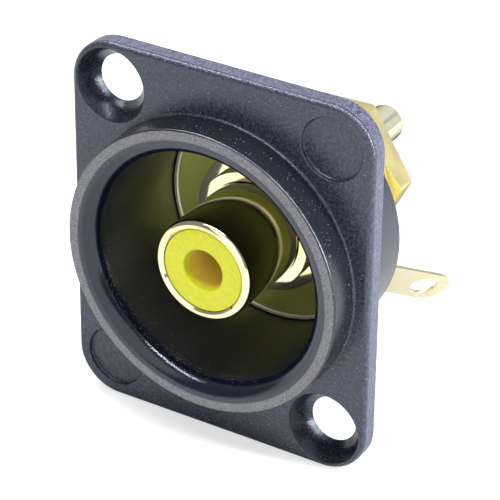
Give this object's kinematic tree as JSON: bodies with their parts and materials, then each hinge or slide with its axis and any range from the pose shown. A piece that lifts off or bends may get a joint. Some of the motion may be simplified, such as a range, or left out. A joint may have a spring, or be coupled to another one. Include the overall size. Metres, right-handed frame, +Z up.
{
  "type": "rca panel socket",
  "caption": "Panel-mount phono socket with a rectangular flange, a raised round collar, a recessed gilt jack with a yellow insulator, a rear nut and a bent solder lug.",
  "frame": {"origin": "centre of the flange's back face, on the socket's axis, where the panel's front lies", "axes": "+Y along the socket's axis, from the plug's side to the soldering side; +Z up; +X to the right as seen from the front"},
  "size_m": [0.026, 0.0293, 0.031],
  "materials": {
    "housing": "black coating with a fine grain, half matt",
    "floor_washer": "gilt, polished",
    "jack_shell": "gilt, polished",
    "front_insulator": "satin",
    "centre_contact": "gilt, polished",
    "rear_insulator": "satin",
    "shoulder_bush": "matt",
    "solder_lug": "gilt, satin",
    "spacer": "gilt, polished",
    "lock_washer": "gilt, satin",
    "hex_nut": "gilt, polished"
  },
  "bodies": {
    "root": {"housing": "housing", "floor_washer": "floor_washer", "jack_shell": "jack_shell", "front_insulator": "front_insulator", "centre_contact": "centre_contact", "rear_insulator": "rear_insulator", "shoulder_bush": "shoulder_bush", "solder_lug": "solder_lug", "spacer": "spacer", "lock_washer": "lock_washer", "hex_nut": "hex_nut"}
  },
  "joints": []
}
